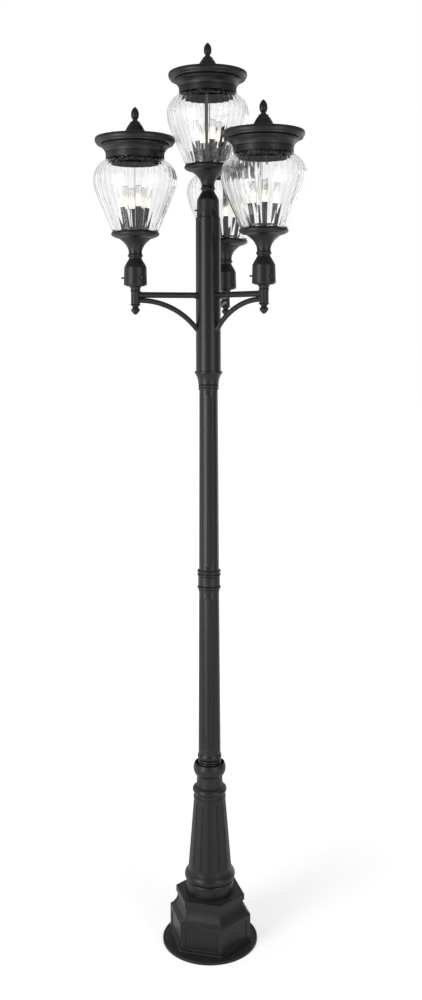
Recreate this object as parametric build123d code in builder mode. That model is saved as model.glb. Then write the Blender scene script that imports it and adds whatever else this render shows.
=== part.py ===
from build123d import *
import os
from math import cos, hypot, pi, radians, sin, sqrt

# Four-light post light: a hexagonal cast base, a tapered shaft, two fluted
# poles, a plain column with three arms, and a lantern on each arm and on top.
# Millimetres, +Z up, origin at the middle of the base plate's underside.

os.makedirs("parts", exist_ok=True)

# Clearances
seat_gap = 0.3
slip_gap = 0.3
thread_gap = 0.05

# Base plate
plate_radius = 192.5
plate_thickness = 8
rim_width = 7
rim_height = 2.5
anchor_count = 3
anchor_circle_radius = 175
anchor_hole_radius = 7
wire_bore_radius = 32

# Hexagonal pedestal
hex_sides = 6
pedestal_corner_radius = 169
pedestal_body_height = 113
pedestal_wall = 7
foot_projection = 2.5
foot_height = 6
ledge_set_back = 1.8
panel_side_margin = 20
panel_top_margin = 19
panel_bottom_margin = 17
panel_depth = 3
panel_taper = 40
cove_height = 52
cove_panel_margin = 9
cove_panel_depth = 2
slab_corner_radius = 142
slab_height = 27
slab_overhang = 5
slab_edge = 3.5
slab_roof = 10

# Tapered shaft casting
drum_radius = 96.5
drum_height = 48
torus_radius = 102.5
torus_height = 36
shaft_foot_radius = 88.4
shaft_top_radius = 62.3
shaft_height = 316
shaft_wall = 9
shaft_ring_radius = 69.3
shaft_ring_height = 27
shaft_neck_radius = 52
shaft_neck_height = 43
shaft_band_height = 27
shaft_flute_count = 14
shaft_flute_start = 2.1
shaft_groove_half_width = 5
shaft_groove_depth = 3.6

# Socket collar that the pole stands in
collar_radius = 66
collar_foot_radius = 54
collar_lip_radius = 61
collar_height = 50
collar_cup_depth = 22
collar_lip = 4

# Fluted poles
pole_foot_radius = 45.1
pole_joint_radius = 41.2
pole_upper_foot_radius = 40.9
pole_top_radius = 37.7
pole_wall = 5
pole_flute_count = 12
lower_flute_start = 10
upper_flute_start = 7.5
groove_half_width = 3.8
groove_depth = 2.8
flute_end_land = 8
flute_run_out = 14
bead_radius = 49
bead_height = 25
cup_clearance_height = 15
foot_ring_count = 3
foot_ring_height = 10
foot_ring_radius = 47.6
lower_pole_length = 661
upper_pole_length = 732
spigot_length = 42

# Pole coupler and the sleeves inside the joints
coupler_height = 91
coupler_body_radius = 44.8
coupler_ring_radius = 48.2
coupler_ring_height = 11
coupler_ring_gap = 4
coupler_low_ring_height = 12
coupler_low_land = 11
coupler_top_land = 3
sleeve_wall = 4
sleeve_reach = 50

# Top cup
cup_bead_radius = 41.4
cup_bead_height = 23
cup_foot_radius = 42
cup_waist_radius = 45.3
cup_flange_radius = 57
cup_height = 77
cup_flange_height = 9

# Arm column and its cap
column_radius = 50.85
column_wall = 4
column_length = 625
cap_thickness = 4
cap_spigot_length = 26

# Arms
arm_angles = {"back": 90, "left": 210, "right": 330}
arm_reach = 304
bar_drop = 318
bar_radius = 12
bar_flange_radius = 14.5
bar_flange_thickness = 5
brace_radius = 10.6
brace_drop = 22
brace_arc_radius = 299
stem_radius = 18
stem_above_bar = 12.5
stem_below_bar = 38
stem_groove_count = 10
stem_groove_radius = 2.2
stem_foot_radius = 21.7
stem_foot_height = 4
stem_bore_radius = 12

# Tenons
tenon_radius = 38
tenon_wall = 4
tenon_length = 75
tenon_bead_radius = 21.2
tenon_bead_height = 6.5
tenon_waist_radius = 19.5
tenon_flare_radius = 37
tenon_flare_height = 19
tenon_plate = 4

# Drop finials under the stems
drop_neck_radius = 11
drop_cone_radius = 16
drop_radius = 17.3
drop_length = 38

# Lantern fitter and its set screws
fitter_radius = 46.9
fitter_foot_radius = 44
fitter_shoulder_radius = 44.9
fitter_neck_radius = 25.6
fitter_height = 111
fitter_barrel_height = 72
screw_count = 3
screw_angle = 195
screw_height = 30
screw_radius = 3
screw_shank = 13
screw_head_radius = 4.6
screw_head = 4

# Glass holder
holder_height = 104
holder_ring_radius = 30.6
holder_waist_radius = 26.4
holder_step_radius = 60
dish_inner_step_radius = 85
dish_radius = 96.8
dish_lip_height = 18
holder_bore_radius = 8
splice_radius = 52

# Socket pan, candles and lamps
pan_radius = 63
pan_step_radius = 57
pan_height = 17
pan_rim_height = 6
candle_count = 4
candle_circle_radius = 48
candle_radius = 12
candle_wall = 1.2
candle_height = 81
socket_drop = 5
socket_bore_radius = 6.3
socket_bore_depth = 24
lamp_cap_radius = 5.9
lamp_cap_length = 24
lamp_neck_radius = 6.6
lamp_radius = 13
lamp_length = 90
lamp_wall = 1

# Centre rod
rod_radius = 3.5
rod_nut_radius = 7
rod_nut_height = 6
rod_foot_depth = 12
rod_into_finial = 14

# Glass shade
glass_foot_radius = 91
glass_height = 313
glass_belly_radius = 170
glass_belly_height = 201
glass_neck_radius = 110
glass_neck_height = 24
glass_wall = 4

# Roof
collar_skirt_radius = 118
skirt_overlap = 22
skirt_height = 22
roof_wall = 4
neck_ring_gap = 1.5
neck_ring_wall = 3
neck_ring_depth = 37
cavetto_radius = 134
brim_radius = 161
brim_height = 28
brim_edge = 4
brim_rise = 59
cone_foot_radius = 92
cone_rise = 91
cone_waist_radius = 50
cone_waist_rise = 104
cone_shoulder_radius = 27
cone_shoulder_rise = 138
roof_height = 152
roof_top_radius = 19.5

# Acorn finial
acorn_foot_radius = 12.5
acorn_neck_radius = 10
acorn_neck_height = 10
acorn_radius = 16
acorn_height = 60

# Lanterns: how far each one is turned on its tenon, in degrees
lantern_turns = {"back": 20, "left": 39.3, "right": 15.3, "top": 32.3}

# Heights that follow from the sizes above
pedestal_top = plate_thickness + pedestal_body_height + cove_height + slab_height
shaft_foot = pedestal_top + drum_height + torus_height
shaft_ring_foot = shaft_foot + shaft_height
collar_foot = shaft_ring_foot + shaft_ring_height + shaft_neck_height
bead_foot = collar_foot + collar_height + cup_clearance_height
pole_foot = bead_foot + bead_height
coupler_foot = pole_foot + lower_pole_length
coupler_top = coupler_foot + coupler_height
cup_foot = coupler_top + upper_pole_length
column_foot = cup_foot + cup_height
column_top = column_foot + column_length + cap_thickness
bar_height = column_top - bar_drop
stem_top = bar_height + stem_above_bar
stem_foot = bar_height - stem_below_bar
arm_fitter_foot = stem_top + tenon_bead_height + tenon_flare_height
joint_bore_radius = pole_joint_radius - pole_wall

# Heights inside a lantern, from the foot of its fitter
holder_foot = fitter_height
glass_foot = fitter_height + holder_height
pan_top = glass_foot + pan_height
glass_seat = glass_foot + seat_gap
glass_top = glass_seat + glass_height
skirt_foot = glass_top - skirt_overlap
roof_top = skirt_foot + roof_height


def radial_plane(x, y, z, turn=0):
    """Upright plane through an axis: local x runs outward, local y up."""
    a = radians(turn)
    return Plane(origin=(x, y, z), x_dir=(cos(a), sin(a), 0), z_dir=(sin(a), -cos(a), 0))


def vertical(x=0, y=0):
    """Vertical axis through a point of the ground plan."""
    return Axis((x, y, 0), (0, 0, 1))


def save(builder, label):
    """Label a finished piece and write it."""
    builder.part.label = label
    export_step(builder.part, f"parts/{label}.step")


def groove_cutter(low, high, half_width, depth, end_length):
    """Long pointed rod that cuts one groove between two (radius, height) ends."""
    cutter_radius = (half_width**2 + depth**2) / (2 * depth)
    stand_off = cutter_radius - depth
    (low_r, low_z), (high_r, high_z) = low, high
    slope = (high_r - low_r) / (high_z - low_z)

    def along(z, off):
        return (low_r + slope * (z - low_z) + stand_off + off, z)

    with BuildPart() as cutter:
        with BuildSketch(Plane.XZ):
            with BuildLine():
                Polyline(
                    along(low_z, 0),
                    along(low_z + end_length, cutter_radius),
                    along(high_z - end_length, cutter_radius),
                    along(high_z, 0),
                    close=True,
                )
            make_face()
        foot_x, foot_z = along(low_z, 0)
        revolve(axis=Axis((foot_x, 0, foot_z), (slope, 0, 1)))
    return cutter.part


def facet_cutter(low, high, flute_count, half_width, end_length):
    """Slab that planes one flat between two grooves, with sloped run-outs."""
    (low_r, low_z), (high_r, high_z) = low, high
    slope = (high_r - low_r) / (high_z - low_z)
    half_flat = pi / flute_count - half_width / high_r
    outside = 4

    def along(z, share, off=0):
        return ((low_r + slope * (z - low_z)) * share + off, z)

    with BuildPart() as cutter:
        with BuildSketch(Plane.XZ):
            with BuildLine():
                Polyline(
                    along(low_z, 1, outside / 4),
                    along(low_z + end_length, cos(half_flat)),
                    along(high_z - end_length, cos(half_flat)),
                    along(high_z, 1, outside / 4),
                    along(high_z, 1, outside),
                    along(low_z, 1, outside),
                    close=True,
                )
            make_face()
        extrude(amount=low_r * sin(pi / flute_count), both=True)
    return cutter.part


# Base plate: a round casting with a raised rim, three anchor holes in line
# with the arms and a bore for the supply wires.
with BuildPart() as base_plate:
    with BuildSketch(Plane.XZ):
        with BuildLine():
            Polyline(
                (wire_bore_radius, 0),
                (plate_radius - 1, 0),
                (plate_radius, 1),
                (plate_radius, plate_thickness + rim_height - 2),
                (plate_radius - 2, plate_thickness + rim_height),
                (plate_radius - rim_width + 1.5, plate_thickness + rim_height),
                (plate_radius - rim_width, plate_thickness),
                (wire_bore_radius, plate_thickness),
                close=True,
            )
        make_face()
    revolve(axis=Axis.Z)
    with BuildSketch(Plane.XY):
        with PolarLocations(anchor_circle_radius, anchor_count, start_angle=arm_angles["back"]):
            Circle(anchor_hole_radius)
    extrude(amount=plate_thickness, mode=Mode.SUBTRACT)
save(base_plate, "base_plate")

# Hexagonal pedestal: the same moulding on every side, mitred at the corners.
# Each pair of opposite sides is one extruded outline, and the casting is what
# the three have in common.
side_share = cos(pi / hex_sides)
body_reach = pedestal_corner_radius * side_share
slab_reach = slab_corner_radius * side_share
cove_reach = slab_reach - slab_overhang
body_top = plate_thickness + pedestal_body_height
cove_top = body_top + cove_height
ledge_reach = body_reach - ledge_set_back

# Cutter for the sunk panel of one cove face. Its sides keep one margin from
# the mitres, so the wedge's point stands out from the axis.
with BuildPart() as panel_cutter:
    with BuildSketch(radial_plane(0, 0, 0)):
        with BuildLine():
            sunk_cove = TangentArc(
                (cove_reach - cove_panel_depth, cove_top),
                (ledge_reach - cove_panel_depth, body_top),
                tangent=(0, -1),
            )
            Polyline(
                sunk_cove @ 0,
                (body_reach, cove_top),
                (body_reach, body_top),
                sunk_cove @ 1,
            )
        make_face()
    extrude(amount=pedestal_corner_radius, both=True)
    wedge_point = cove_panel_margin / sin(pi / hex_sides)
    wedge_width = (pedestal_corner_radius - wedge_point) * sin(pi / hex_sides) / side_share
    with BuildSketch(Plane.XY.offset(body_top + cove_panel_margin)):
        with BuildLine():
            Polyline(
                (wedge_point, 0),
                (pedestal_corner_radius, wedge_width),
                (pedestal_corner_radius, -wedge_width),
                close=True,
            )
        make_face()
    extrude(amount=cove_height - 2 * cove_panel_margin, mode=Mode.INTERSECT)
cove_panel = panel_cutter.part

with BuildPart() as hex_pedestal:
    for pair in range(hex_sides // 2):
        with BuildSketch(radial_plane(0, 0, 0, 30 + 60 * pair)):
            with BuildLine():
                Polyline(
                    (0, plate_thickness),
                    (body_reach + foot_projection, plate_thickness),
                    (body_reach + foot_projection, plate_thickness + foot_height),
                    (body_reach, plate_thickness + foot_height + foot_projection),
                    (body_reach, body_top - ledge_set_back),
                    (ledge_reach, body_top),
                )
                cove = TangentArc((cove_reach, cove_top), (ledge_reach, body_top), tangent=(0, -1))
                Polyline(
                    cove @ 0,
                    (slab_reach + slab_edge / 2, cove_top + slab_edge / 2),
                    (slab_reach + slab_edge / 2, pedestal_top - slab_edge),
                    (slab_reach - slab_edge / 2, pedestal_top),
                    (0, pedestal_top),
                    (0, plate_thickness),
                )
            make_face()
            mirror(about=Plane.YZ)
        extrude(
            amount=2 * pedestal_corner_radius,
            both=True,
            mode=Mode.ADD if pair == 0 else Mode.INTERSECT,
        )
    panel_height = pedestal_body_height - panel_top_margin - panel_bottom_margin
    panel_middle = plate_thickness + panel_bottom_margin + panel_height / 2
    for side in range(hex_sides):
        face_angle = radians(30 + 60 * side)
        outward = Vector(cos(face_angle), sin(face_angle), 0)
        face_plane = Plane(
            origin=outward * body_reach + Vector(0, 0, panel_middle),
            x_dir=Vector(0, 0, 1).cross(outward),
            z_dir=-outward,
        )
        with BuildSketch(face_plane):
            Rectangle(pedestal_corner_radius - 2 * panel_side_margin, panel_height)
        extrude(amount=panel_depth, taper=panel_taper, mode=Mode.SUBTRACT)
    with PolarLocations(0, hex_sides, start_angle=30):
        add(cove_panel, mode=Mode.SUBTRACT)
    hollow_reach = body_reach - panel_depth - pedestal_wall
    with BuildSketch(Plane.XY.offset(plate_thickness)):
        RegularPolygon(hollow_reach / side_share, hex_sides)
    extrude(amount=pedestal_body_height - pedestal_wall, mode=Mode.SUBTRACT)
    with BuildSketch(Plane.XY.offset(plate_thickness)):
        Circle(cove_reach - cove_panel_depth - pedestal_wall)
    extrude(amount=pedestal_top - slab_roof - plate_thickness, mode=Mode.SUBTRACT)
    with BuildSketch(Plane.XY.offset(pedestal_top - slab_roof)):
        Circle(shaft_neck_radius)
    extrude(amount=slab_roof, mode=Mode.SUBTRACT)
save(hex_pedestal, "hex_pedestal")

# Tapered shaft: drum, torus, fluted cone, ring and neck in one casting.
spigot_radius = pole_foot_radius - pole_wall
neck_bore = spigot_radius + slip_gap
neck_foot = shaft_ring_foot + shaft_ring_height
flute_foot = shaft_foot + 12
flute_top = shaft_ring_foot - shaft_band_height
shaft_slope = (shaft_top_radius - shaft_foot_radius) / shaft_height


def shaft_radius(z):
    """Outside radius of the fluted cone at a height."""
    return shaft_foot_radius + shaft_slope * (z - shaft_foot)


with BuildPart() as tapered_shaft:
    with BuildSketch(Plane.XZ):
        with BuildLine():
            Polyline(
                (drum_radius - shaft_wall, pedestal_top),
                (drum_radius - 1, pedestal_top),
                (drum_radius, pedestal_top + 3),
                (drum_radius, pedestal_top + drum_height - 4),
                (drum_radius - 2.5, pedestal_top + drum_height),
            )
            ThreePointArc(
                (drum_radius - 2.5, pedestal_top + drum_height),
                (torus_radius, pedestal_top + drum_height + torus_height / 2),
                (shaft_foot_radius + 5, shaft_foot),
            )
            Polyline(
                (shaft_foot_radius + 5, shaft_foot),
                (shaft_foot_radius + 0.5, shaft_foot + 5),
                (shaft_radius(flute_foot), flute_foot),
                (shaft_radius(flute_top + 4), flute_top + 4),
                (shaft_radius(flute_top + 4) + 2, flute_top + 7),
                (shaft_radius(flute_top + 4) + 2, flute_top + 12),
                (shaft_radius(flute_top + 4) - 1, flute_top + 15),
                (shaft_top_radius, shaft_ring_foot),
            )
            ThreePointArc(
                (shaft_top_radius, shaft_ring_foot),
                (shaft_ring_radius, shaft_ring_foot + shaft_ring_height * 0.55),
                (shaft_neck_radius + 7, neck_foot - 2),
            )
            Polyline(
                (shaft_neck_radius + 7, neck_foot - 2),
                (shaft_neck_radius + 2, neck_foot),
                (shaft_neck_radius, collar_foot - 5),
                (shaft_neck_radius + 1, collar_foot),
                (neck_bore, collar_foot),
                (neck_bore, shaft_ring_foot),
                (shaft_top_radius - shaft_wall, shaft_ring_foot - 15),
                (shaft_foot_radius - shaft_wall, shaft_foot),
                (drum_radius - shaft_wall, pedestal_top),
            )
        make_face()
    revolve(axis=Axis.Z)
    shaft_low = (shaft_radius(flute_foot), flute_foot)
    shaft_high = (shaft_radius(flute_top), flute_top)
    shaft_groove = groove_cutter(
        shaft_low, shaft_high, shaft_groove_half_width, shaft_groove_depth, flute_run_out
    )
    with PolarLocations(0, shaft_flute_count, start_angle=shaft_flute_start):
        add(shaft_groove, mode=Mode.SUBTRACT)
save(tapered_shaft, "tapered_shaft")

# Socket collar: a rounded open cup round the pole's foot.
with BuildPart() as socket_collar:
    with BuildSketch(Plane.XZ):
        with BuildLine():
            Line((neck_bore, collar_foot), (collar_foot_radius, collar_foot))
            ThreePointArc(
                (collar_foot_radius, collar_foot),
                (collar_radius, collar_foot + collar_height * 0.6),
                (collar_lip_radius, collar_foot + collar_height),
            )
            Polyline(
                (collar_lip_radius, collar_foot + collar_height),
                (collar_lip_radius - collar_lip, collar_foot + collar_height),
                (collar_lip_radius - collar_lip - 1, collar_foot + collar_height - collar_cup_depth),
                (neck_bore, collar_foot + collar_height - collar_cup_depth),
                (neck_bore, collar_foot),
            )
        make_face()
    revolve(axis=Axis.Z)
save(socket_collar, "socket_collar")


def fluted_pole(foot, top, foot_radius, top_radius, bore_foot, bore_top, flute_start):
    """Tapered tube with grooves and flats; bores are (radius at foot, radius at top)."""
    low = (foot_radius, foot)
    high = (top_radius, top)
    slope = (top_radius - foot_radius) / (top - foot)
    cut_low = (foot_radius + slope * flute_end_land, foot + flute_end_land)
    cut_high = (top_radius - slope * flute_end_land, top - flute_end_land)
    facet = facet_cutter(cut_low, cut_high, pole_flute_count, groove_half_width, flute_run_out)
    groove = groove_cutter(cut_low, cut_high, groove_half_width, groove_depth, 2 * flute_run_out)
    with BuildPart() as pole:
        with BuildSketch(Plane.XZ):
            with BuildLine():
                Polyline(low, high, (bore_top, top), (bore_foot, foot), close=True)
            make_face()
        revolve(axis=Axis.Z)
        with PolarLocations(0, pole_flute_count, start_angle=flute_start + 180 / pole_flute_count):
            add(facet, mode=Mode.SUBTRACT)
        with PolarLocations(0, pole_flute_count, start_angle=flute_start):
            add(groove, mode=Mode.SUBTRACT)
    return pole.part


# Lower pole: fluted tube, with a bead at its foot and a spigot in the socket.
with BuildPart() as lower_pole:
    add(
        fluted_pole(
            pole_foot,
            coupler_foot,
            pole_foot_radius,
            pole_joint_radius,
            pole_foot_radius - pole_wall,
            joint_bore_radius,
            lower_flute_start,
        )
    )
    spigot_foot = collar_foot - shaft_neck_height
    with BuildSketch(Plane.XZ):
        with BuildLine():
            Polyline(
                (spigot_radius - pole_wall, spigot_foot),
                (spigot_radius, spigot_foot),
                (spigot_radius, bead_foot - cup_clearance_height - collar_cup_depth),
                (pole_foot_radius, bead_foot - cup_clearance_height - collar_cup_depth),
                (pole_foot_radius, bead_foot - foot_ring_count * foot_ring_height),
            )
            for k in range(foot_ring_count):
                ring_top = bead_foot - k * foot_ring_height
                ThreePointArc(
                    (pole_foot_radius, ring_top - foot_ring_height),
                    (foot_ring_radius, ring_top - foot_ring_height / 2),
                    (pole_foot_radius, ring_top),
                )
            ThreePointArc(
                (pole_foot_radius, bead_foot),
                (bead_radius, bead_foot + bead_height / 2),
                (pole_foot_radius, pole_foot),
            )
            Polyline(
                (pole_foot_radius, pole_foot),
                (pole_foot_radius - pole_wall, pole_foot),
                (spigot_radius - pole_wall, bead_foot),
                (spigot_radius - pole_wall, spigot_foot),
            )
        make_face()
    revolve(axis=Axis.Z)
save(lower_pole, "lower_pole")

# Pole coupler: a turned ring over the joint, with beads at both ends.
with BuildPart() as pole_coupler:
    coupler_bore = pole_joint_radius - pole_wall - slip_gap
    ring_seat = coupler_body_radius - 1.5
    low_ring = coupler_foot + coupler_low_land
    low_ring_top = low_ring + coupler_low_ring_height
    high_ring = coupler_top - coupler_top_land - coupler_ring_height
    mid_ring_top = high_ring - coupler_ring_gap
    mid_ring = mid_ring_top - coupler_ring_height
    with BuildSketch(Plane.XZ):
        with BuildLine():
            Polyline(
                (coupler_bore, coupler_foot),
                (pole_joint_radius, coupler_foot),
                (ring_seat, coupler_foot + 2),
                (ring_seat, low_ring - 3),
                (ring_seat - 1, low_ring - 2),
                (ring_seat, low_ring),
            )
            ThreePointArc(
                (ring_seat, low_ring),
                (coupler_ring_radius, (low_ring + low_ring_top) / 2),
                (ring_seat, low_ring_top),
            )
            Polyline(
                (ring_seat, low_ring_top),
                (coupler_body_radius, low_ring_top + 3),
                (coupler_body_radius, mid_ring - 3),
                (ring_seat, mid_ring),
            )
            ThreePointArc(
                (ring_seat, mid_ring),
                (coupler_ring_radius, (mid_ring + mid_ring_top) / 2),
                (ring_seat, mid_ring_top),
            )
            Line((ring_seat, mid_ring_top), (ring_seat, high_ring))
            ThreePointArc(
                (ring_seat, high_ring),
                (coupler_ring_radius, high_ring + coupler_ring_height / 2),
                (ring_seat, high_ring + coupler_ring_height),
            )
            Polyline(
                (ring_seat, high_ring + coupler_ring_height),
                (pole_upper_foot_radius, coupler_top),
                (coupler_bore, coupler_top),
                (coupler_bore, coupler_foot),
            )
        make_face()
    revolve(axis=Axis.Z)
save(pole_coupler, "pole_coupler")

# Pole sleeves: inner tubes that align and tie the two poles, and the upper
# pole and the cup.
top_bore_radius = pole_top_radius - pole_wall
with BuildPart() as pole_sleeves:
    for joint_foot, joint_height, bore in (
        (coupler_foot, coupler_height, coupler_bore),
        (cup_foot, 0, top_bore_radius),
    ):
        with BuildSketch(Plane.XY.offset(joint_foot - sleeve_reach)):
            Circle(bore - slip_gap)
            Circle(bore - slip_gap - sleeve_wall, mode=Mode.SUBTRACT)
        extrude(amount=joint_height + 2 * sleeve_reach)
save(pole_sleeves, "pole_sleeves")

# Upper pole: the same fluted tube, slimmer.
with BuildPart() as upper_pole:
    add(
        fluted_pole(
            coupler_top,
            cup_foot,
            pole_upper_foot_radius,
            pole_top_radius,
            joint_bore_radius,
            top_bore_radius,
            upper_flute_start,
        )
    )
save(upper_pole, "upper_pole")

# Top cup: beads, a flared cup and a flange, bored for the sleeve and with a
# spigot in the column.
column_bore_radius = column_radius - column_wall
with BuildPart() as top_cup:
    column_spigot_radius = column_bore_radius - slip_gap
    bead_top = cup_foot + cup_bead_height
    flange_foot = column_foot - cup_flange_height
    with BuildSketch(Plane.XZ):
        with BuildLine():
            Polyline(
                (top_bore_radius, cup_foot),
                (pole_top_radius + 2, cup_foot),
            )
            ThreePointArc(
                (pole_top_radius + 2, cup_foot),
                (cup_bead_radius, cup_foot + cup_bead_height / 4),
                (pole_top_radius + 2, cup_foot + cup_bead_height / 2),
            )
            ThreePointArc(
                (pole_top_radius + 2, cup_foot + cup_bead_height / 2),
                (cup_bead_radius + 0.6, cup_foot + cup_bead_height * 0.75),
                (pole_top_radius + 2, bead_top),
            )
            Polyline(
                (pole_top_radius + 2, bead_top),
                (cup_foot_radius, bead_top + 2),
            )
            ThreePointArc(
                (cup_foot_radius, bead_top + 2),
                (cup_waist_radius, (bead_top + flange_foot) / 2 + 2),
                (cup_flange_radius - 2, flange_foot),
            )
            Polyline(
                (cup_flange_radius - 2, flange_foot),
                (cup_flange_radius, flange_foot + 2),
                (cup_flange_radius, column_foot - 1.5),
                (cup_flange_radius - 1.5, column_foot),
                (column_spigot_radius, column_foot),
                (column_spigot_radius, column_foot + spigot_length),
                (column_spigot_radius - sleeve_wall, column_foot + spigot_length),
                (column_spigot_radius - sleeve_wall, column_foot),
                (top_bore_radius, cup_foot + sleeve_reach + seat_gap),
                (top_bore_radius, cup_foot),
            )
        make_face()
    revolve(axis=Axis.Z)
save(top_cup, "top_cup")

# Arm column: plain round tube.
with BuildPart() as arm_column:
    with BuildSketch(Plane.XY.offset(column_foot)):
        Circle(column_radius)
        Circle(column_bore_radius, mode=Mode.SUBTRACT)
    extrude(amount=column_length)
save(arm_column, "arm_column")


# Column cap: closes the column and carries the tenon of the top lantern.
with BuildPart() as column_cap:
    with BuildSketch(Plane.XZ):
        with BuildLine():
            Polyline(
                (stem_bore_radius, column_top - cap_thickness),
                (column_spigot_radius - sleeve_wall, column_top - cap_thickness),
                (column_spigot_radius - sleeve_wall, column_top - cap_thickness - cap_spigot_length),
                (column_spigot_radius, column_top - cap_thickness - cap_spigot_length),
                (column_spigot_radius, column_top - cap_thickness),
                (column_radius, column_top - cap_thickness),
                (column_radius, column_top),
                (tenon_radius, column_top),
                (tenon_radius, column_top + tenon_length),
                (tenon_radius - tenon_wall, column_top + tenon_length),
                (tenon_radius - tenon_wall, column_top),
                (stem_bore_radius, column_top),
                close=True,
            )
        make_face()
    revolve(axis=Axis.Z)
save(column_cap, "column_cap")


def arm_axis(angle):
    """Ground-plan position of the lantern on an arm."""
    return arm_reach * cos(radians(angle)), arm_reach * sin(radians(angle))


# Arms: bar, curved brace and ribbed stem, cast in one.
for place, angle in arm_angles.items():
    stem_x, stem_y = arm_axis(angle)
    bar_end = arm_reach - stem_radius / 2
    with BuildPart() as arm:
        with BuildSketch(radial_plane(stem_x, stem_y, 0, angle)):
            with BuildLine():
                Polyline(
                    (0, stem_foot - stem_foot_height),
                    (stem_foot_radius - 1.5, stem_foot - stem_foot_height),
                    (stem_foot_radius, stem_foot - stem_foot_height / 2),
                    (stem_radius, stem_foot + 1),
                    (stem_radius, stem_top),
                    (0, stem_top),
                    close=True,
                )
            make_face()
        revolve(axis=vertical(stem_x, stem_y))
        with BuildSketch(Plane((stem_x, stem_y, stem_foot + 2))):
            with PolarLocations(stem_radius + stem_groove_radius / 2, stem_groove_count):
                Circle(stem_groove_radius)
        extrude(amount=stem_top - stem_foot - 4, mode=Mode.SUBTRACT)
        outward = Vector(cos(radians(angle)), sin(radians(angle)), 0)
        column_face = Plane(
            origin=outward * (column_radius - 2) + Vector(0, 0, bar_height),
            x_dir=(0, 0, 1),
            z_dir=outward,
        )
        with BuildSketch(column_face):
            Circle(bar_radius)
        extrude(amount=bar_end - column_radius + 2)
        with BuildSketch(column_face):
            Circle(bar_flange_radius)
        extrude(amount=bar_flange_thickness + 2)
        stem_face = column_face.offset(arm_reach - stem_radius - bar_flange_thickness - column_radius)
        with BuildSketch(stem_face):
            Circle(bar_flange_radius - 1)
        extrude(amount=bar_flange_thickness + stem_radius / 2)
        brace_start_r = arm_reach - stem_radius / 2
        brace_top = bar_height - brace_drop
        run = brace_start_r - stem_radius / 2 - (column_radius - 4)
        fall = brace_arc_radius - sqrt(brace_arc_radius**2 - run**2)
        tangent_r = brace_start_r - stem_radius / 2
        with BuildLine(radial_plane(0, 0, 0, angle)) as brace_path:
            Line((brace_start_r, brace_top), (tangent_r, brace_top))
            TangentArc(
                (tangent_r, brace_top), (tangent_r - run, brace_top - fall), tangent=(-1, 0)
            )
        brace_face = Plane(
            origin=outward * brace_start_r + Vector(0, 0, brace_top),
            x_dir=(0, 0, 1),
            z_dir=-outward,
        )
        with BuildSketch(brace_face):
            Circle(brace_radius)
        sweep(path=brace_path.line)
        with Locations((0, 0, bar_height)):
            Cylinder(column_radius + thread_gap, 2 * brace_arc_radius, mode=Mode.SUBTRACT)
        with BuildSketch(Plane((stem_x, stem_y, stem_foot))):
            Circle(stem_bore_radius)
        extrude(amount=stem_top - stem_foot, mode=Mode.SUBTRACT)
        split(bisect_by=Plane.XY.offset(stem_top), keep=Keep.BOTTOM)
    save(arm, f"arm_{place}")

# Arm tenons: bead and cove that show above each stem, and the tube inside
# the fitter.
with BuildPart() as arm_tenons:
    bead_top = stem_top + tenon_bead_height
    flare_foot = bead_top + 3
    for angle in arm_angles.values():
        x, y = arm_axis(angle)
        with BuildSketch(radial_plane(x, y, 0)):
            with BuildLine():
                Polyline(
                    (stem_bore_radius / 2, stem_top - 20),
                    (stem_bore_radius - slip_gap, stem_top - 20),
                    (stem_bore_radius - slip_gap, stem_top),
                    (tenon_bead_radius - 3, stem_top),
                )
                ThreePointArc(
                    (tenon_bead_radius - 3, stem_top),
                    (tenon_bead_radius, stem_top + tenon_bead_height / 2),
                    (tenon_bead_radius - 3, bead_top),
                )
                Line((tenon_bead_radius - 3, bead_top), (tenon_waist_radius, flare_foot))
                TangentArc(
                    (tenon_waist_radius, flare_foot),
                    (tenon_flare_radius, arm_fitter_foot - 3),
                    tangent=(0, 1),
                )
                Polyline(
                    (tenon_flare_radius, arm_fitter_foot - 3),
                    (tenon_radius, arm_fitter_foot - 2),
                    (tenon_radius, arm_fitter_foot + tenon_length),
                    (tenon_radius - tenon_wall, arm_fitter_foot + tenon_length),
                    (tenon_radius - tenon_wall, arm_fitter_foot + tenon_plate),
                    (stem_bore_radius / 2, arm_fitter_foot + tenon_plate),
                    (stem_bore_radius / 2, stem_top - 20),
                )
            make_face()
        revolve(axis=vertical(x, y))
save(arm_tenons, "arm_tenons")

# Drop finials: pointed drops screwed up into the stems.
with BuildPart() as drop_finials:
    drop_top = stem_foot - stem_foot_height
    for angle in arm_angles.values():
        x, y = arm_axis(angle)
        with BuildSketch(radial_plane(x, y, 0)):
            with BuildLine():
                Polyline(
                    (0, drop_top),
                    (drop_cone_radius, drop_top),
                    (drop_cone_radius, drop_top - 2),
                    (drop_neck_radius, drop_top - 8),
                    (drop_neck_radius, drop_top - 10),
                )
                ThreePointArc(
                    (drop_neck_radius, drop_top - 10),
                    (drop_radius, drop_top - 18),
                    (drop_radius * 0.8, drop_top - 27),
                )
                Polyline(
                    (drop_radius * 0.8, drop_top - 27),
                    (drop_radius * 0.4, drop_top - drop_length + 3),
                    (drop_radius * 0.15, drop_top - drop_length + 0.5),
                    (0, drop_top - drop_length),
                    (0, drop_top),
                )
            make_face()
        revolve(axis=vertical(x, y))
save(drop_finials, "drop_finials")

# Lanterns: four alike, one on each arm and one on the column.
glass_outline = [
    (glass_foot_radius, 0),
    (glass_foot_radius + 21, 47),
    (glass_foot_radius + 45, 103),
    (glass_belly_radius - 11, 155),
    (glass_belly_radius, glass_belly_height),
    (glass_belly_radius - 18, glass_belly_height + 60),
    (glass_neck_radius + 14, glass_height - glass_neck_height - 4),
]


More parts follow.
